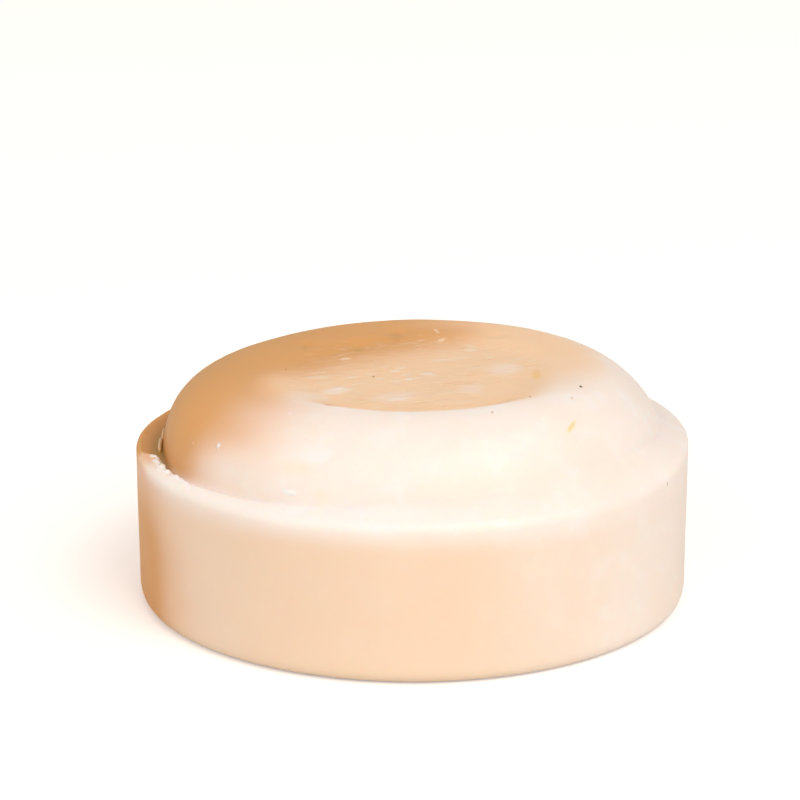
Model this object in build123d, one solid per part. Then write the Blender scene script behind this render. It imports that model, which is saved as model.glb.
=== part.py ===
from build123d import *
import math
import os

# A round bar of toilet soap, pressed in one piece.
#
# The bar is a low drum with a straight side band. Its flat underside is the base, with a softened edge.
# On top of the band a narrow ledge runs round the foot of a domed cap. The top half of the press stood a
# little askew: the ledge and the cap lean together, so that +X is the high side, and the cap is off the
# drum's axis. A gutter is pressed into the ledge all round the cap's foot, and is deepest on the low side.
# The cap rises steeply from it and rounds over to a flat crown, which is dished by a shallow round panel.
#
# Frame: millimetres, +Z up, origin at the centre of the base, which rests on Z = 0.

# Drum: the band and the base.
BAR_DIAMETER = 70.0
BASE_EDGE_RADIUS = 1.8
LEDGE_HEIGHT = 20.3  # base to ledge, on the bar's axis
SHOULDER_RADIUS = 0.7  # rounded edge between band and ledge

# How askew the top half of the press stood.
TOP_LEAN_DEG = 1.0
CAP_SHIFT_X = 0.35
CAP_SHIFT_Y = 0.2

# Cap: a steep flank that rounds over as a quarter ellipse.
LEDGE_WIDTH = 3.5  # band to the cap's foot, if the cap stood on the bar's axis
CAP_RISE = 9.3  # ledge to crown
FLANK_WIDTH = 10.8  # the cap's foot to its crown, measured inwards
ROOT_COVER = 0.1  # how far below the gutter the flank's ellipse starts

# Gutter round the cap's foot.
GUTTER_WIDTH = 1.5
GUTTER_DEPTH = 0.5
GUTTER_LEAN_DEG = 0.5  # against the ledge, so that it is deeper on the -X side
GUTTER_REACH = 4.0  # how far the cut runs in under the cap, which fills it again

# Dished panel in the crown.
PANEL_RADIUS = 18.3
PANEL_SHIFT_Y = -2.0  # off the cap's axis, towards the front
PANEL_DEPTH = 0.6
PANEL_WALL_SLOPE_DEG = 35.0
PANEL_FLOOR_RADIUS = 0.8  # rounding where the panel's wall meets its floor

BAR_RADIUS = BAR_DIAMETER / 2
CAP_FOOT_RADIUS = BAR_RADIUS - LEDGE_WIDTH
CROWN_RADIUS = CAP_FOOT_RADIUS - FLANK_WIDTH
GUTTER_FALL = CAP_FOOT_RADIUS * math.tan(math.radians(GUTTER_LEAN_DEG))
CAP_ROOT_DROP = GUTTER_DEPTH + GUTTER_FALL + ROOT_COVER

# The ledge lies in its own leaning frame, and the cap stands in one beside it.
LEDGE_FRAME = Pos(0, 0, LEDGE_HEIGHT) * Rot(0, -TOP_LEAN_DEG, 0)
CAP_FRAME = LEDGE_FRAME * Pos(CAP_SHIFT_X, CAP_SHIFT_Y, 0)
GUTTER_FRAME = CAP_FRAME * Rot(0, -GUTTER_LEAN_DEG, 0)


def turned(section):
    """A full turn of a closed section, drawn in XZ, about Z."""
    return revolve(Plane.XZ * section, Axis.Z)


def drum():
    """The band up to the leaning ledge, with both of its edges rounded."""
    tall = LEDGE_HEIGHT + CAP_RISE
    blank = extrude(Circle(BAR_RADIUS), tall)
    above_ledge = LEDGE_FRAME * extrude(Circle(BAR_DIAMETER), tall)
    cut = blank - above_ledge
    cut = fillet(cut.edges().sort_by(Axis.Z)[-1], SHOULDER_RADIUS)
    return fillet(cut.edges().group_by(Axis.Z)[0], BASE_EDGE_RADIUS)


def gutter():
    """The ring pressed out of the ledge, with a round outer flank, running in under the cap's foot."""
    inner = CAP_FOOT_RADIUS - GUTTER_REACH
    outer = CAP_FOOT_RADIUS + GUTTER_WIDTH
    flank_foot = outer - GUTTER_DEPTH
    clear = GUTTER_DEPTH + GUTTER_FALL
    sides = Polyline(
        (outer, 0),
        (outer, clear),
        (inner, clear),
        (inner, -GUTTER_DEPTH),
        (flank_foot, -GUTTER_DEPTH),
    )
    flank = RadiusArc((flank_foot, -GUTTER_DEPTH), (outer, 0), -GUTTER_DEPTH)
    return GUTTER_FRAME * turned(make_face(sides + flank))


def cap():
    """The domed cap, standing from inside the drum up to the crown, before the panel is dished."""
    buried = -LEDGE_HEIGHT / 2
    flank_rise = CAP_RISE + CAP_ROOT_DROP
    # The ellipse passes through the foot radius at the ledge's height, so at its root it is a little wider.
    foot_share = math.sqrt(1 - (CAP_ROOT_DROP / flank_rise) ** 2)
    root_width = FLANK_WIDTH / foot_share
    root_radius = CROWN_RADIUS + root_width
    flank_centre = (CROWN_RADIUS, -CAP_ROOT_DROP)
    flank = EllipticalCenterArc(flank_centre, root_width, flank_rise, start_angle=0, arc_size=90)
    core = Polyline(
        (CROWN_RADIUS, CAP_RISE),
        (0, CAP_RISE),
        (0, buried),
        (root_radius, buried),
        (root_radius, -CAP_ROOT_DROP),
    )
    return CAP_FRAME * turned(make_face(flank + core))


def panel():
    """The shallow dish taken out of the crown: a flat floor and a sloping wall, with the corner rounded."""
    wall_run = PANEL_DEPTH / math.tan(math.radians(PANEL_WALL_SLOPE_DEG))
    floor_edge = (PANEL_RADIUS - wall_run, -PANEL_DEPTH)
    section = make_face(
        Polyline(
            (0, -PANEL_DEPTH),
            floor_edge,
            (PANEL_RADIUS, 0),
            (PANEL_RADIUS, PANEL_DEPTH),
            (0, PANEL_DEPTH),
            close=True,
        )
    )
    corner = section.vertices().sort_by_distance((*floor_edge, 0))[0]
    return CAP_FRAME * Pos(0, PANEL_SHIFT_Y, CAP_RISE) * turned(fillet(corner, PANEL_FLOOR_RADIUS))


def soap_bar():
    """The whole bar, as one solid."""
    return drum() - gutter() + cap() - panel()


os.makedirs("parts", exist_ok=True)
export_step(soap_bar(), "parts/soap_bar.step")
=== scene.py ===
import itertools
import math

import bpy
import numpy as np
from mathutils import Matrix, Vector


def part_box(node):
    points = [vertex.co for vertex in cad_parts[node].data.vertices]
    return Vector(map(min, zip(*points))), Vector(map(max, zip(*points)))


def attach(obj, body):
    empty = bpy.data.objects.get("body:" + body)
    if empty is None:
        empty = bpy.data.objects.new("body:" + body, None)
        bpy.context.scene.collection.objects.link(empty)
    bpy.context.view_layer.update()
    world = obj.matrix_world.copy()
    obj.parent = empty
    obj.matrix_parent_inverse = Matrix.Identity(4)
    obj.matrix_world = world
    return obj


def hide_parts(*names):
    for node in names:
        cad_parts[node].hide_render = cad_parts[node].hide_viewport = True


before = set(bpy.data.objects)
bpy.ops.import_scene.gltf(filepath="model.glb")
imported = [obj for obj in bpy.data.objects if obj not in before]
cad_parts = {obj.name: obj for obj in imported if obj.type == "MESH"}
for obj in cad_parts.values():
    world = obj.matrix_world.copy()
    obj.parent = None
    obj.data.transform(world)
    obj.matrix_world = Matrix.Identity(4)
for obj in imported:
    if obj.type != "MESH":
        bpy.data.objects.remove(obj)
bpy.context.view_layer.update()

# =====================================================================================================
# The bar of soap
# One pressed piece of hard toilet soap: a drum with a straight side band, a narrow ledge, and a domed cap
# with a dished panel in its crown. The top half of the press stood a little askew, so ledge and cap lean.
# =====================================================================================================
MM = 0.001
bar_low, bar_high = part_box("soap_bar")
BAR_RADIUS = (bar_high.x - bar_low.x) / 2 / MM

# The pressed form, in millimetres.
BASE_EDGE_RADIUS = 1.8
LEDGE_HEIGHT = 20.3
TOP_LEAN = math.radians(1.0)
CAP_SHIFT = (0.35, 0.2)
LEDGE_WIDTH = 3.5
CAP_RISE = 9.3
FLANK_WIDTH = 10.8
ROOT_DROP = 1.1  # the flank's ellipse starts this far below the ledge
PANEL_RADIUS = 18.8  # to the top of its rounded wall
PANEL_SHIFT = -2.0  # towards the front
PANEL_DEPTH = 0.6
CAP_FOOT_RADIUS = BAR_RADIUS - LEDGE_WIDTH

# The grid's lines run round the bar and crowd towards the side where the press squeezed out most flash.
LINES_ROUND = 480
FLASH_SIDE = math.radians(203)
CROWDING = 0.5
even = np.arange(LINES_ROUND) * math.tau / LINES_ROUND
turn = (even - CROWDING * np.sin(even - FLASH_SIDE))[None, :]
azimuth = np.degrees(turn) % 360


def eased(value, low, high):
    """0 at low, 1 at high, and the ease 3t^2 - 2t^3 between them."""
    t = np.clip((value - low) / (high - low), 0, 1)
    return t * t * (3 - 2 * t)


def round_the_bar(*stations):
    """A value that changes round the bar: it passes through each (azimuth, value) station, given in order
    from azimuth 0, and eases from each one to the next."""
    at, value = np.array([*stations, (stations[0][0] + 360, stations[0][1])]).T
    nearest = np.clip(np.searchsorted(at, azimuth, "right") - 1, 0, len(stations) - 1)
    share = eased(azimuth, at[nearest], at[nearest + 1])
    return value[nearest] + (value[nearest + 1] - value[nearest]) * share


def noise(x, y, z, cell, seed, octaves=1):
    """Value noise between -1 and 1. Random values stand on a cubic lattice with the given cell, and each
    point blends its eight neighbours by the ease 3t^2 - 2t^3 along each axis. Each further octave halves
    both the cell and the height."""
    size = 64
    total = 0.0
    for octave in range(octaves):
        table = np.random.default_rng(seed + octave).uniform(-1, 1, (size, size, size))
        place = np.stack([x, y, z], -1) * 2**octave / cell
        base = np.floor(place).astype(int)
        ease = eased(place - base, 0, 1)
        for corner in itertools.product((0, 1), repeat=3):
            weight = np.prod(np.where(corner, ease, 1 - ease), axis=-1)
            total = total + weight * table[tuple(np.moveaxis((base + corner) % size, -1, 0))] / 2**octave
    return total


# How the press's work varies round the bar; azimuth 0 is the right, 90 the back, 180 the left, 270 the front.
# The shoulder is crisp at the sides and soft at the front. The gutter is open on the flash side, where it
# takes up the whole ledge; at the front right it is filled, and the cap flows into the shoulder. A lip of
# soap stands along it at the front left, crumbled at its left end, and a torn fin of flash stands in it at
# the far left. The cap swells at the front left, and the panel's edge is crisp only along the front.
shoulder = round_the_bar((0, 0.7), (60, 0.5), (190, 0.45), (226, 1.4), (262, 1.8), (320, 2.2))
foot_height = round_the_bar(
    *((0, 1.3), (50, 0.1), (100, -0.5), (160, -0.9), (198, -0.9), (210, -0.4), (228, -0.1)),
    *((245, 0.4), (275, 1.6), (315, 2.4)),
)
gutter_width = round_the_bar((0, 1.6), (120, 1.8), (155, 2.8), (189, 2.6), (195, 1.3), (215, 0.9), (255, 0.9))
lip_height = round_the_bar((0, 0.0), (188, 0.0), (196, 0.30), (215, 0.16), (255, 0.08), (280, 0.0))
crumbled = round_the_bar((0, 0.0), (190, 0.0), (199, 1.0), (214, 0.9), (226, 0.2), (250, 0.0))
fin_height = round_the_bar((0, 0.0), (152, 0.0), (160, 0.8), (183, 1.7), (188, 0.0))
burr_height = round_the_bar((0, 0.0), (165, 0.0), (172, 0.2), (190, 0.35), (198, 0.0))
cap_swell = round_the_bar((0, 0.0), (100, 0.0), (165, 0.3), (188, 0.4), (212, 1.2), (240, 1.0), (265, 0.2))
flank_fullness = round_the_bar(
    *((0, -0.5), (40, -0.75), (80, -0.2), (130, 0.1), (165, 0.6), (190, 0.5), (215, 0.2), (270, 0.0)),
)
crown_spread = round_the_bar((0, 0.2), (60, 0.0), (225, 0.2), (270, 0.4), (316, 1.0), (345, 0.4))
panel_spread = round_the_bar((0, 0.2), (60, 0.0), (240, 0.0), (285, 0.3), (316, 0.9), (340, 0.4))
panel_crispness = round_the_bar((0, 0.0), (215, 0.0), (242, 1.0), (300, 1.0), (330, 0.0))
panel_wall = 5.0 - 3.2 * panel_crispness
crown_radius = CAP_FOOT_RADIUS - FLANK_WIDTH + crown_spread
rim_height = LEDGE_HEIGHT + BAR_RADIUS * math.sin(TOP_LEAN) * np.cos(turn)
edge_x, edge_y = (BAR_RADIUS - LEDGE_WIDTH / 2) * np.cos(turn), (BAR_RADIUS - LEDGE_WIDTH / 2) * np.sin(turn)
torn = 0.6 + 0.5 * noise(edge_x, edge_y, 0 * turn, 0.9, 41, 2)
gutter_width = gutter_width + 0.4 * crumbled * noise(edge_x, edge_y, 0 * turn, 1.7, 43, 2)

# How many rings each run of the section has, from the middle of the underside to the middle of the panel, and
# how far along its run each ring stands, 0 to 1.
COUNTS = {
    "base": 8,
    "edge": 6,
    "band": 24,
    "shoulder": 12,
    "ledge": 36,
    "flank": 50,
    "crown": 10,
    "wall": 16,
    "floor": 42,
}
along = {name: (np.arange(count) / count)[:, None] for name, count in COUNTS.items()}
edge_turn = along["edge"] * math.pi / 2

flank_rise = CAP_RISE + ROOT_DROP
flank_run = (FLANK_WIDTH - crown_spread) / math.sqrt(1 - (ROOT_DROP / flank_rise) ** 2) + cap_swell
flank_start = np.arcsin((foot_height + ROOT_DROP) / flank_rise)
flank_turn = flank_start + (math.pi / 2 - flank_start) * along["flank"]
foot_radius = crown_radius + flank_run * np.cos(flank_start)

# Where soap fills the gutter, the shoulder's arc ends early, at the slope of the straight line up to the
# foot. Each round of the loop aims the line from where the arc ended in the round before.
fill = np.maximum(foot_height, 0)
arc_end = math.pi / 2 + 0 * turn
for _ in range(20):
    rise = fill + shoulder * (1 - np.sin(arc_end))
    run = BAR_RADIUS - shoulder * (1 - np.cos(arc_end)) - foot_radius
    arc_end = math.pi / 2 - np.arctan2(rise, run)
shoulder_turn = along["shoulder"] * arc_end
arc_radius = BAR_RADIUS - shoulder * (1 - np.cos(arc_end))
arc_height = -shoulder * (1 - np.sin(arc_end))

ledge_radius = arc_radius + (foot_radius - arc_radius) * along["ledge"]
ledge_height = arc_height + (fill - arc_height) * along["ledge"]
from_foot = ledge_radius - foot_radius
into_gutter = np.clip(1 - from_foot / gutter_width, 0, 1)
dip = np.minimum(foot_height, 0) * eased(into_gutter, 0, 0.7)
lip = lip_height * np.exp(-(((from_foot - gutter_width) / 0.4) ** 2))
fin = fin_height * torn * np.exp(-(((from_foot - 0.45) / 0.16) ** 2))
burr = burr_height * torn * np.exp(-(((ledge_radius - BAR_RADIUS + shoulder) / 0.2) ** 2))

BELLY_RISE = 0.22  # the panel's floor is a little higher in its middle
wall_top = PANEL_RADIUS + panel_spread
wall_foot = wall_top - panel_wall
floor_radius = wall_foot * (1 - along["floor"])
belly = BELLY_RISE * (1 - (floor_radius / wall_foot) ** 2)

# Each run: its radius, its height above the base or the ledge, whether it leans with the top, and how far its
# ring is moved towards the cap's axis and on towards the panel's middle.
runs = [
    ((BAR_RADIUS - BASE_EDGE_RADIUS) * (0.05 + 0.95 * along["base"]), 0, 0, 0, 0),
    (
        BAR_RADIUS - BASE_EDGE_RADIUS * (1 - np.sin(edge_turn)),
        BASE_EDGE_RADIUS * (1 - np.cos(edge_turn)),
        0,
        0,
        0,
    ),
    (BAR_RADIUS, BASE_EDGE_RADIUS + (rim_height - shoulder - BASE_EDGE_RADIUS) * along["band"], 0, 0, 0),
    (BAR_RADIUS - shoulder * (1 - np.cos(shoulder_turn)), -shoulder * (1 - np.sin(shoulder_turn)), 1, 0, 0),
    (ledge_radius, ledge_height + dip + lip + fin + burr, 1, along["ledge"], 0),
    (
        crown_radius + flank_run * np.cos(flank_turn) + flank_fullness * np.sin(2 * flank_turn) ** 2,
        flank_rise * np.sin(flank_turn) - ROOT_DROP,
        1,
        1,
        0,
    ),
    (crown_radius + (wall_top - crown_radius) * along["crown"], CAP_RISE, 1, 1, along["crown"]),
    (
        wall_top - panel_wall * along["wall"],
        CAP_RISE - PANEL_DEPTH * eased(along["wall"], -0.2 * panel_crispness, 1),
        1,
        1,
        1,
    ),
    (floor_radius, CAP_RISE - PANEL_DEPTH + belly, 1, 1, 1),
]


def carried_round(radius, height, leans, to_cap, to_panel):
    """A run of the section carried round the bar. Its circles stand about the bar's axis, moved by shares of
    the cap's and the panel's shifts, and what leans is turned about the Y axis through the ledge's middle."""
    x = radius * np.cos(turn) + to_cap * CAP_SHIFT[0] + 0 * height
    y = radius * np.sin(turn) + to_cap * CAP_SHIFT[1] + to_panel * PANEL_SHIFT + 0 * height
    z = height + 0 * x
    if leans:
        x, z = (
            x * math.cos(TOP_LEAN) - z * math.sin(TOP_LEAN),
            x * math.sin(TOP_LEAN) + z * math.cos(TOP_LEAN) + LEDGE_HEIGHT,
        )
    return x, y, z


x, y, z = (np.concatenate(rows) for rows in zip(*(carried_round(*run) for run in runs)))

# Soap keeps no sharp corner: each line up the section is averaged with its neighbours a few times.
for _ in range(2):
    for line in (x, y, z):
        line[1:-1] = (line[:-2] + 2 * line[1:-1] + line[2:]) / 4

# Places on the surface that the faults and the colours below are set out from. The change from ledge to cap
# takes a few rings on either side of the cap's foot.
cap_radius = np.hypot(x - CAP_SHIFT[0], y - CAP_SHIFT[1])
panel_radius = np.hypot(x - CAP_SHIFT[0], y - CAP_SHIFT[1] - PANEL_SHIFT)
above_ledge = z - LEDGE_HEIGHT - math.tan(TOP_LEAN) * x
near_ledge = np.exp(-((above_ledge / 1.4) ** 2))
row = np.arange(len(z))[:, None]
foot_row = sum(COUNTS[name] for name in ("base", "edge", "band", "shoulder", "ledge"))
on_cap = eased(row, foot_row - 4, foot_row + 5) + 0 * z
soft = 1 - panel_crispness
on_panel = eased(panel_radius - panel_spread, PANEL_RADIUS + 1 + 3 * soft, PANEL_RADIUS - 0.4 - 3 * soft)
on_panel = on_panel * eased(above_ledge, 6, 7)

# Hard soap is cut, pressed and handled, so its faces are faintly uneven: slow swells, ripples and pocks, a
# few dents in the back of the panel's wall, three hollows low on the cap, and crumbs along the broken lip.
# Each dent has its place, how wide it is and how deep, in millimetres.
DENTS = [
    ((-1.9, 16.4, 29.3), 1.5, 0.45),
    ((-6.9, 11.6, 29.0), 1.6, 0.45),
    ((-13.6, 10.8, 29.0), 1.3, 0.35),
    ((11.0, 13.8, 29.3), 1.3, 0.35),
    ((-13.9, -26.1, 24.6), 3.2, 0.25),
    ((-8.6, -29.8, 21.3), 1.8, 0.15),
    ((22.3, -21.7, 22.5), 4.0, 0.15),
]
lip_crest = np.exp(-(((cap_radius - foot_radius - gutter_width) / 0.6) ** 2)) * near_ledge * (1 - on_cap)
crumbs = noise(x, y, z, 0.7, 21, 3)
swells, ripples, pocks = noise(x, y, z, 16, 11), noise(x, y, z, 6, 12), noise(x, y, z, 2.2, 13, 2)
lift = 0.10 * swells + 0.045 * ripples + 0.014 * pocks - 0.06
lift = lift + 0.28 * lip_crest * crumbled * crumbs + 0.05 * on_panel * noise(x, y, z, 3.5, 33, 2)
for (dent_x, dent_y, dent_z), size, depth in DENTS:
    away = (x - dent_x) ** 2 + (y - dent_y) ** 2 + (z - dent_z) ** 2
    lift = lift - depth * np.exp(-away / size**2)


def outward(x, y, z):
    """Unit normals of the grid: the cross product of its slopes round the bar and along the section."""
    points = np.stack([x, y, z], -1)
    upward = np.gradient(points, axis=0)
    around = np.roll(points, -1, axis=1) - np.roll(points, 1, axis=1)
    normal = np.cross(around, upward)
    return normal / np.maximum(np.linalg.norm(normal, axis=-1, keepdims=True), 1e-9)


# The underside stays flat, and nothing swells past the drum's own radius.
lift = lift * eased(z, 0, 1.5)
normals = np.moveaxis(outward(x, y, z), -1, 0)
x, y, z = (line + lift * normal for line, normal in zip((x, y, z), normals))
beyond = np.maximum(np.hypot(x, y) / (BAR_RADIUS - 0.01), 1)
x, y = x / beyond, y / beyond

# Where each colour of the soap lies. The amber is partly the soap's own warm tone and partly painted shade:
# it deepens to amber at the back and the left, away from the key, and is nearly white at the front and the
# right. It is peach on the crown, and peach low on the band as painted warm bounce light. "left" grows from
# the front right to the back left, and cloudy noise keeps its lines from running straight.
cloudy = 0.06 * noise(x, y, z, 11, 61, 2)
left = (-0.85 * x + 0.53 * y) / BAR_RADIUS + cloudy
flank_amber = eased(left, -0.27, 0.59)
flank_amber = flank_amber * (1 - 0.75 * eased(azimuth, 206, 226) * eased(z, 27, 22.5))
crown_amber = eased((-0.65 * x + 0.9 * y) / BAR_RADIUS + cloudy, -0.02, 0.46)
inner_crown = eased(panel_radius, 23, 16) * eased(above_ledge, 6, 7)
band_side = (1 - on_cap) * eased(above_ledge, -0.5, -2.0)
ledge_side = np.clip(1 - on_cap - band_side, 0, 1)
# On the band the amber grows lower down, and on the ledge at the back left it is wholly painted shade.
band_amber = round_the_bar((0, 0.3), (60, 0.2), (150, 0.25), (182, 0.55), (198, 0.55), (213, 0.3))
ledge_painted_shade = round_the_bar((0, 0.0), (130, 0.7), (150, 1), (188, 1), (193, 0.6), (212, 0.1), (225, 0))
amber_and_painted_shade = on_cap * (flank_amber + (crown_amber - flank_amber) * inner_crown)
amber_and_painted_shade = amber_and_painted_shade + flank_amber * band_side * band_amber * (1 + 1.0 * eased(z, 18, 9))
amber_and_painted_shade = amber_and_painted_shade + ledge_side * ledge_painted_shade

# The gutter, the ledge behind it and the far left of the cap are painted darkest, olive brown: painted shade.
gutter_painted_shade = round_the_bar((0, 0), (120, 0.1), (160, 0.5), (184, 0.8), (194, 1), (206, 0.6), (222, 0))
olive_painted_shade = eased(cap_radius - foot_radius, 2.0, 0.6) * near_ledge * (1 - on_cap) * gutter_painted_shade
olive_painted_shade = olive_painted_shade + ledge_side * round_the_bar((0, 0.0), (130, 0.0), (150, 0.4), (188, 0.45), (195, 0.0))
olive_painted_shade = olive_painted_shade + 0.4 * on_cap * eased(left, 0.4, 0.8)

# How much of each other colour there is round the bar. The scrapes on the panel come in patches, and its
# bright flakes lie in a slanting stripe across its middle.
crown = eased(cap_radius, 28, 20) * eased(above_ledge, 5, 7)
front_wall = eased(panel_radius, 14.5, 18) * panel_crispness
patchy = np.clip(0.7 + 0.6 * noise(x, y, 0 * z, 5, 71), 0.1, 1.2)
stripe = np.exp(-(((y + 1.5 - 0.4 * x) / 4.5) ** 2))
peachy_side = round_the_bar(
    *((0, 0.85), (30, 1), (60, 1), (212, 1), (238, 0.15), (250, 0), (310, 0), (330, 0.5)),
)
# Peach low on the band is painted warm bounce light, strongest at the front left.
low_bounce_side = round_the_bar(
    *((0, 0.25), (60, 0.74), (225, 0.74), (250, 1), (275, 0.85), (300, 0.5), (320, 0.25), (345, 0.25)),
)
pale_side = round_the_bar((0, 0.2), (90, 0), (192, 0), (204, 1.0), (260, 1.0), (300, 0.3))
on_fin = np.concatenate([np.zeros((foot_row - COUNTS["ledge"], LINES_ROUND)), fin, 0 * z[foot_row:]])
colours = {
    "amber_and_painted_shade": np.clip(amber_and_painted_shade, 0, 1.1),
    # Just inside the panel's front lip the peach is deepened: painted shade of the lip.
    "peach": np.maximum(on_panel * (0.8 + 0.2 * front_wall), 0.85 * crown * peachy_side),
    "scraped": on_panel * eased(panel_radius, 18.5, 14.5 + 2.5 * front_wall) * patchy,
    "torn": eased(on_fin, 0.1, 0.5),
    "low": band_side * eased(z, LEDGE_HEIGHT - 0.8, LEDGE_HEIGHT - 4.8) * low_bounce_side,
    "flaked": eased(panel_radius, 18, 13) * stripe * eased(above_ledge, 6, 7),
    "crumbled": np.clip(1.5 * lip_crest * crumbled * (0.8 + crumbs), 0, 1),
    "olive_painted_shade": np.clip(olive_painted_shade, 0, 1),
    "pale": near_ledge * (1 - on_cap) * pale_side,
}


def closed_mesh(name, x, y, z, values):
    """A mesh from a grid of rings: quads between neighbouring rings, closed round the bar, and a fan of
    triangles from the first and the last ring to a point at their middle. Millimetres become metres."""
    rows, columns = x.shape
    points = np.stack([x, y, z], -1).reshape(-1, 3)
    poles = [points[:columns].mean(axis=0), points[-columns:].mean(axis=0)]
    index = np.arange(rows * columns).reshape(rows, columns)
    beside = np.roll(index, -1, axis=1)
    quads = np.stack([index[:-1], beside[:-1], beside[1:], index[1:]], -1).reshape(-1, 4)
    under = np.stack([beside[0], index[0], np.full(columns, rows * columns)], -1)
    crown = np.stack([index[-1], beside[-1], np.full(columns, rows * columns + 1)], -1)
    mesh = bpy.data.meshes.new(name)
    mesh.from_pydata(np.vstack([points, poles]) * MM, [], [*quads.tolist(), *under.tolist(), *crown.tolist()])
    for title, value in values.items():
        layer = mesh.attributes.new(title, "FLOAT", "POINT")
        at_poles = [value[0].mean(), value[-1].mean()]
        layer.data.foreach_set("value", np.concatenate([value.ravel(), at_poles]).astype(np.float32))
    mesh.shade_smooth()
    piece = bpy.data.objects.new(name, mesh)
    bpy.context.scene.collection.objects.link(piece)
    return piece


soap_bar = closed_mesh("soap_bar_surface", x, y, z, colours)
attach(soap_bar, "root")
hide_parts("soap_bar")

# Pressed white toilet soap. Fatty-acid soap is a waxy, slightly translucent solid: light goes in a few
# millimetres and comes out warmer. Its skin is satin, cream with peach clouds, and peachier where the press
# left it rough; fresh breaks are paler. The gutter is painted olive brown as painted shade, and the back and
# left amber, partly as painted shade.


def linear(code):
    """An sRGB hex colour as linear RGBA: each channel is c / 12.92 up to 0.04045, and above that
    (c + 0.055) / 1.055 to the power 2.4."""
    levels = [int(code[i : i + 2], 16) / 255 for i in (1, 3, 5)]
    return [c / 12.92 if c <= 0.04045 else ((c + 0.055) / 1.055) ** 2.4 for c in levels] + [1.0]


def add_node(tree, kind, sockets=None, **settings):
    """Adds one node, makes its own settings, and fills its input sockets: a socket is linked, and a value
    is set."""
    made = tree.nodes.new(kind)
    for name, value in settings.items():
        setattr(made, name, value)
    for key, value in (sockets or {}).items():
        if isinstance(value, bpy.types.NodeSocket):
            tree.links.new(value, made.inputs[key])
        else:
            made.inputs[key].default_value = value
    return made


def per_mm(size):
    """The scale of a pattern of the given size in millimetres, on coordinates in metres."""
    return 1 / (size * MM)


soap = bpy.data.materials.new("pressed_toilet_soap")
soap.use_nodes = True
tree = soap.node_tree
tree.nodes.clear()
place = add_node(tree, "ShaderNodeTexCoord").outputs["Object"]
seen = {
    name: add_node(tree, "ShaderNodeAttribute", attribute_name=name).outputs["Fac"] for name in colours
}

# Patterns in the soap: clouds and curds from the mixing, and on the panel scrape marks and flakes that lie a
# little askew, each a few millimetres long and well under a millimetre wide.
clouds = add_node(tree, "ShaderNodeTexNoise", {"Vector": place, "Scale": per_mm(13), "Detail": 3.0})
curds = add_node(tree, "ShaderNodeTexNoise", {"Vector": place, "Scale": per_mm(4), "Detail": 2.0})
askew = add_node(
    tree,
    "ShaderNodeMapping",
    {"Vector": place, "Rotation": (0, 0, math.radians(17)), "Scale": (4.5 * MM, 0.9 * MM, 3 * MM)},
    vector_type="TEXTURE",
)
scrapes = add_node(
    tree,
    "ShaderNodeTexNoise",
    {"Vector": askew.outputs["Vector"], "Scale": 1.0, "Detail": 3.0, "Distortion": 1.5},
)
flake_map = add_node(tree, "ShaderNodeMapping", {"Vector": askew.outputs["Vector"], "Scale": (1.5, 0.8, 1.2)})
flakes = add_node(tree, "ShaderNodeTexVoronoi", {"Vector": flake_map.outputs["Vector"], "Scale": 1.0})

# Layers of colour, each over the ones before it: the tint, the value it follows, where it rises from, where
# it is full, how strong it is, and what keeps it to its place.
layers = [
    ("#FFFBF9", curds.outputs["Fac"], 0.5, 0.72, 0.35, 1.0),
    ("#FBE2CC", clouds.outputs["Fac"], 0.45, 0.66, 0.25, 1.0),
    # Peach low on the band: painted warm bounce light.
    ("#F8D8B6", seen["low"], 0.0, 1.0, 0.75, 1.0),
    ("#FFD0A0", seen["peach"], 0.0, 1.0, 0.9, 1.0),
    # Amber: partly the soap's warm tone, partly painted shade at the back and the left.
    ("#DFA664", seen["amber_and_painted_shade"], 0.0, 1.0, 1.0, 1.0),
    ("#FEE3CC", scrapes.outputs["Fac"], 0.53, 0.70, 0.5, seen["scraped"]),
    ("#E6A868", scrapes.outputs["Fac"], 0.44, 0.28, 0.3, seen["scraped"]),
    ("#FFEBDA", flakes.outputs["Distance"], 0.32, 0.14, 0.9, seen["flaked"]),
    ("#FFFAF7", seen["pale"], 0.1, 1.0, 0.45, 1.0),
    # Olive brown: painted shade in the gutter, on the ledge behind it and on the far left.
    ("#AA8032", seen["olive_painted_shade"], 0.0, 1.0, 0.9, 1.0),
    ("#EBC9A2", seen["torn"], 0.0, 1.0, 0.9, 1.0),
    ("#FFFBF8", seen["crumbled"], 0.1, 0.6, 0.95, 1.0),
]
colour = linear("#FFEFE6")
for tint, value, low, high, strength, mask in layers:
    span = {"Value": value, "From Min": low, "From Max": high, "To Max": strength}
    amount = add_node(tree, "ShaderNodeMapRange", span, interpolation_type="SMOOTHSTEP").outputs["Result"]
    amount = add_node(tree, "ShaderNodeMath", {0: amount, 1: mask}, operation="MULTIPLY").outputs["Value"]
    blend = {0: amount, 6: colour, 7: linear(tint)}
    colour = add_node(tree, "ShaderNodeMix", blend, data_type="RGBA").outputs[2]

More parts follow.
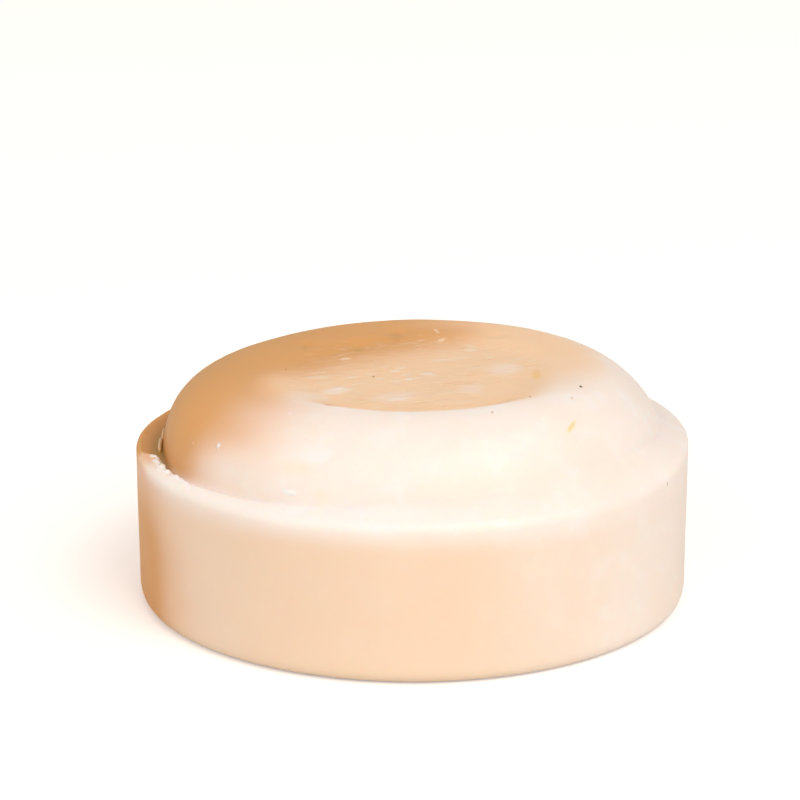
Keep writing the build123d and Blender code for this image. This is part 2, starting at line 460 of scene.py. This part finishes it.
# Single marks, with frayed edges: the tint, the place, the half size along, across and up, the turn of its
# length from the X axis, its strength, and how far it stands out (all in millimetres and degrees).
MARKS = [
    ("#FFE4D0", (11.6, -1.4, 29.2), (2.2, 3.2, 2), -10, 0.75, 0.0),
    ("#FFE4CF", (7.2, -10.2, 29.1), (1.8, 2.4, 2), 0, 0.6, 0.0),
    ("#FFE6D4", (-1.9, -13.1, 29.0), (3.2, 2.2, 2), 20, 0.6, 0.02),
    ("#FFEBDE", (-1.9, -14.0, 29.0), (1.3, 0.6, 2), 20, 0.7, 0.04),
    ("#FFE9DA", (-9.6, -9.7, 28.9), (2.0, 1.6, 2), 25, 0.8, 0.06),
    ("#FDE7D6", (-12.9, -12.8, 29.1), (2.8, 2.6, 2), 12, 0.6, 0.0),
    ("#FFEBDC", (1.8, -3.2, 29.2), (0.9, 0.6, 1), 20, 0.85, 0.08),
    ("#FFEBDC", (-0.5, -5.6, 29.2), (0.7, 0.5, 1), 40, 0.8, 0.08),
    ("#FFE9D8", (-2.1, -6.3, 29.1), (0.9, 0.4, 1), 10, 0.7, 0.06),
    ("#FFE6D2", (7.6, 8.3, 29.1), (0.9, 0.9, 1), 20, 0.7, 0.05),
    ("#FCDDBC", (-8.6, 5.2, 28.8), (0.8, 0.7, 1), 10, 0.7, 0.04),
    ("#FDE0C6", (5.0, 3.7, 29.2), (2.6, 0.9, 1), 20, 0.5, 0.03),
    ("#FFEEE2", (-9.0, -8.6, 28.8), (0.7, 0.6, 1), 35, 0.9, 0.08),
    ("#FFDDBC", (3.2, 16.6, 29.4), (0.3, 1.1, 1), 15, 0.7, 0.06),
    ("#FFDDBC", (3.8, 13.3, 29.0), (0.4, 0.9, 1), -40, 0.7, 0.06),
    ("#FFE7CF", (7.5, 10.4, 29.1), (0.5, 0.9, 1), 50, 0.6, 0.05),
    ("#F4CC80", (15.4, -4.4, 29.3), (0.6, 2.4, 2), 0, 0.8, 0.0),
    # The next three marks are painted shade in the dents at the back of the panel's wall.
    ("#CF9C4A", (-6.9, 10.0, 28.8), (0.8, 1.8, 2), 0, 0.7, 0.0),
    ("#CD9A55", (-13.9, 9.6, 28.9), (0.5, 1.8, 2), 0, 0.5, 0.0),
    ("#D39A55", (-2.2, 15.2, 28.8), (0.8, 2.2, 2), 0, 0.5, 0.0),
    # The next four marks are painted shade: the deeper orange band just inside the panel's front lip.
    ("#E4A468", (-9.9, -17.2, 29.2), (0.9, 0.9, 1), 0, 0.7, 0.0),
    ("#EDB878", (-2.8, -19.6, 29.3), (1.6, 0.8, 1), 0, 0.6, 0.0),
    ("#F2BD7C", (3.3, -19.6, 29.4), (2.4, 0.9, 1), 5, 0.6, 0.0),
    ("#EEBB8C", (9.4, -17.6, 29.6), (2.2, 1.1, 1), 20, 0.5, 0.0),
    ("#EFDC9C", (18.85, -20.5, 27.4), (1.3, 0.24, 1.2), 63, 0.9, 0.0),
    ("#F8E9CC", (-13.8, -26.1, 24.2), (2.4, 2.4, 1.0), 20, 0.35, 0.0),
    ("#FFF8F6", (-11.7, -26.0, 25.8), (2.4, 2.4, 1.2), 20, 0.5, 0.0),
    ("#F8E9CC", (-10.5, -29.0, 21.7), (1.5, 1.2, 0.8), 0, 0.3, 0.0),
    ("#FFFBF9", (-13.7, -30.1, 20.1), (1.3, 1.3, 0.7), 0, 0.5, 0.0),
    # A chip painted near white: partly its fresh break, partly a painted glint.
    ("#FFFBF8", (-23.4, -19.35, 24.7), (0.3, 0.35, 0.5), 0, 1.0, 0.15),
    ("#F6C89A", (-26.7, -15.65, 23.9), (0.16, 0.28, 0.6), 0, 0.9, 0.20),
    ("#FFE6DA", (-14.75, -19.2, 28.75), (0.35, 0.7, 0.4), 0, 0.8, 0.08),
    ("#FFFBF8", (-14.6, -28.1, 21.7), (1.1, 0.5, 0.35), -31, 0.9, 0.10),
    ("#5B4630", (20.5, -11.1, 29.6), (0.2, 0.4, 0.5), 0, 1.0, -0.05),
    ("#D6B898", (19.2, -15.1, 29.4), (0.2, 0.4, 0.5), 0, 0.5, 0.0),
    ("#B8966F", (9.35, -21.35, 29.5), (0.18, 0.35, 0.5), 0, 0.6, 0.0),
    ("#B98A58", (14.1, -15.9, 29.8), (0.16, 0.35, 0.5), 0, 0.8, 0.0),
    ("#B98A58", (10.7, -17.8, 29.7), (0.12, 0.3, 0.5), 0, 0.8, 0.0),
    ("#967246", (-4.9, -4.0, 29.0), (0.15, 0.4, 0.5), 0, 0.8, 0.0),
    ("#AE7F49", (-16.0, -0.2, 28.6), (0.2, 0.5, 0.5), 0, 0.7, 0.0),
    ("#A98A5C", (30.6, -16.6, 20.0), (0.2, 0.2, 0.2), 0, 0.7, 0.0),
    ("#A98A5C", (30.9, -16.2, 18.9), (0.12, 0.2, 0.3), 0, 0.7, 0.0),
]
fray = add_node(tree, "ShaderNodeTexNoise", {"Vector": askew.outputs["Vector"], "Scale": 1.6, "Detail": 4.0})
relief = 0.0
for tint, mark_place, half_size, angle, strength, height in MARKS:
    frame_of_mark = {
        "Vector": place,
        "Location": [along_axis * MM for along_axis in mark_place],
        "Rotation": (0, 0, math.radians(angle)),
        "Scale": [along_axis * MM for along_axis in half_size],
    }
    local = add_node(tree, "ShaderNodeMapping", frame_of_mark, vector_type="TEXTURE").outputs["Vector"]
    away = add_node(tree, "ShaderNodeVectorMath", {0: local}, operation="LENGTH").outputs["Value"]
    frayed = {0: away, 1: fray.outputs["Fac"]}
    away = add_node(tree, "ShaderNodeMath", frayed, operation="ADD").outputs["Value"]
    span = {"Value": away, "From Min": 1.8, "From Max": 0.9, "To Max": strength}
    amount = add_node(tree, "ShaderNodeMapRange", span, interpolation_type="SMOOTHSTEP").outputs["Result"]
    blend = {0: amount, 6: colour, 7: linear(tint)}
    colour = add_node(tree, "ShaderNodeMix", blend, data_type="RGBA").outputs[2]
    if height:
        raised = {0: amount, 1: height, 2: relief}
        relief = add_node(tree, "ShaderNodeMath", raised, operation="MULTIPLY_ADD").outputs["Value"]

# The skin is satin, with fine pores; scrapes and chips catch the light.
pores = add_node(tree, "ShaderNodeTexNoise", {"Vector": place, "Scale": per_mm(0.7), "Detail": 3.0})
skin = add_node(
    tree, "ShaderNodeBump", {"Height": pores.outputs["Fac"], "Strength": 0.2, "Distance": 0.05 * MM}
)
scraped = add_node(
    tree, "ShaderNodeMath", {0: scrapes.outputs["Fac"], 1: seen["scraped"]}, operation="MULTIPLY"
)
marks = add_node(
    tree,
    "ShaderNodeBump",
    {
        "Height": scraped.outputs["Value"],
        "Strength": 0.8,
        "Distance": 0.22 * MM,
        "Normal": skin.outputs["Normal"],
    },
)
chips = add_node(
    tree,
    "ShaderNodeBump",
    {"Height": relief, "Strength": 1.0, "Distance": 1.0 * MM, "Normal": marks.outputs["Normal"]},
)
wax = add_node(
    tree,
    "ShaderNodeBsdfPrincipled",
    {
        "Base Color": colour,
        "Roughness": 0.45,
        "Normal": chips.outputs["Normal"],
        "IOR": 1.46,
        "Subsurface Weight": 0.6,
        "Subsurface Radius": (1.0, 0.6, 0.4),
        "Subsurface Scale": 2.5 * MM,
    },
)
add_node(tree, "ShaderNodeOutputMaterial", {"Surface": wax.outputs["BSDF"]})
soap_bar.data.materials.append(soap)

# =====================================================================================================
# Floor
# A plain pale sweep that the bar rests on. To the camera it is white with the bar's soft shadow; the light
# that it throws back up is a little warm.
# =====================================================================================================
FLOOR_SIDE = 4.0
floor_mesh = bpy.data.meshes.new("floor")
half = FLOOR_SIDE / 2
corners = [(-half, -half, 0), (half, -half, 0), (half, half, 0), (-half, half, 0)]
floor_mesh.from_pydata(corners, [], [(0, 1, 2, 3)])
floor = bpy.data.objects.new("floor", floor_mesh)
bpy.context.scene.collection.objects.link(floor)

paper = bpy.data.materials.new("white_paper_sweep")
paper.use_nodes = True
tree = paper.node_tree
tree.nodes.clear()
rays = add_node(tree, "ShaderNodeLightPath")
matt = add_node(tree, "ShaderNodeBsdfDiffuse", {"Color": linear("#EEEAE6")})
glow = add_node(tree, "ShaderNodeEmission", {"Color": linear("#FFFFFF"), "Strength": 0.34})
lit = add_node(tree, "ShaderNodeAddShader", {0: matt.outputs["BSDF"], 1: glow.outputs["Emission"]})
either = add_node(
    tree,
    "ShaderNodeMixShader",
    {0: rays.outputs["Is Camera Ray"], 1: matt.outputs["BSDF"], 2: lit.outputs["Shader"]},
)
add_node(tree, "ShaderNodeOutputMaterial", {"Surface": either.outputs["Shader"]})
floor.data.materials.append(paper)

# =====================================================================================================
# Light
# Soft studio light: a broad key at the front right, a weaker fill at the front left, a weak warm bounce low
# at the back left, and a pale room. The bar's back and its crown are left a little darker.
# =====================================================================================================


def softbox(name, azimuth, elevation, distance, side, share, tint):
    """A square area lamp aimed at the bar from an azimuth and an elevation in degrees. Its power is worked
    out so that a surface facing it at the bar gets the given share of the light that shows a colour as
    written: a lamp of power P gives P / (pi d^2) at distance d, and white shows at pi, so
    P = share * pi^2 * d^2."""
    lamp = bpy.data.lights.new(name, "AREA")
    lamp.size = side
    lamp.energy = share * math.pi**2 * distance**2
    lamp.color = linear(tint)[:3]
    lamp_object = bpy.data.objects.new(name, lamp)
    a, e = math.radians(azimuth), math.radians(elevation)
    toward = Vector((math.sin(a) * math.cos(e), -math.cos(a) * math.cos(e), math.sin(e)))
    lamp_object.location = toward * distance
    lamp_object.rotation_euler = toward.to_track_quat("Z", "Y").to_euler()
    bpy.context.scene.collection.objects.link(lamp_object)


softbox("key", 32, 48, 3.0, 2.0, 0.56, "#FFFAF7")
softbox("fill", -30, 35, 3.0, 2.0, 0.16, "#FFFAF7")
softbox("bounce", -130, 15, 2.0, 2.0, 0.16, "#FFC98C")

world = bpy.data.worlds.new("pale_room")
world.use_nodes = True
bpy.context.scene.world = world
tree = world.node_tree
tree.nodes.clear()
rays = add_node(tree, "ShaderNodeLightPath")
shown = add_node(
    tree,
    "ShaderNodeMath",
    {0: rays.outputs["Is Camera Ray"], 1: rays.outputs["Is Transmission Ray"]},
    operation="MAXIMUM",
)
room = add_node(tree, "ShaderNodeBackground", {"Color": linear("#FFF8F3"), "Strength": 0.50})
white = add_node(tree, "ShaderNodeBackground", {"Color": linear("#FFFFFF"), "Strength": 1.0})
either = add_node(
    tree,
    "ShaderNodeMixShader",
    {0: shown.outputs["Value"], 1: room.outputs["Background"], 2: white.outputs["Background"]},
)
add_node(tree, "ShaderNodeOutputWorld", {"Surface": either.outputs["Shader"]})

# =====================================================================================================
# Camera
# A long lens close to table height, looking down about 16 degrees on the bar's front.
# =====================================================================================================
CAMERA_ELEVATION = math.radians(16.18)
CAMERA_DISTANCE = 347.6 * MM
AIM = Vector((-1.59 * MM, 0, (LEDGE_HEIGHT + 4.5) * MM))
camera_data = bpy.data.cameras.new("camera")
camera_data.sensor_width = 36
camera_data.lens = 123.5
camera_data.clip_start = 0.01
camera = bpy.data.objects.new("camera", camera_data)
backward = Vector((0, -math.cos(CAMERA_ELEVATION), math.sin(CAMERA_ELEVATION)))
camera.location = AIM + backward * CAMERA_DISTANCE
camera.rotation_euler = backward.to_track_quat("Z", "Y").to_euler()
bpy.context.scene.collection.objects.link(camera)
bpy.context.scene.camera = camera
bpy.context.scene.view_settings.view_transform = "Standard"
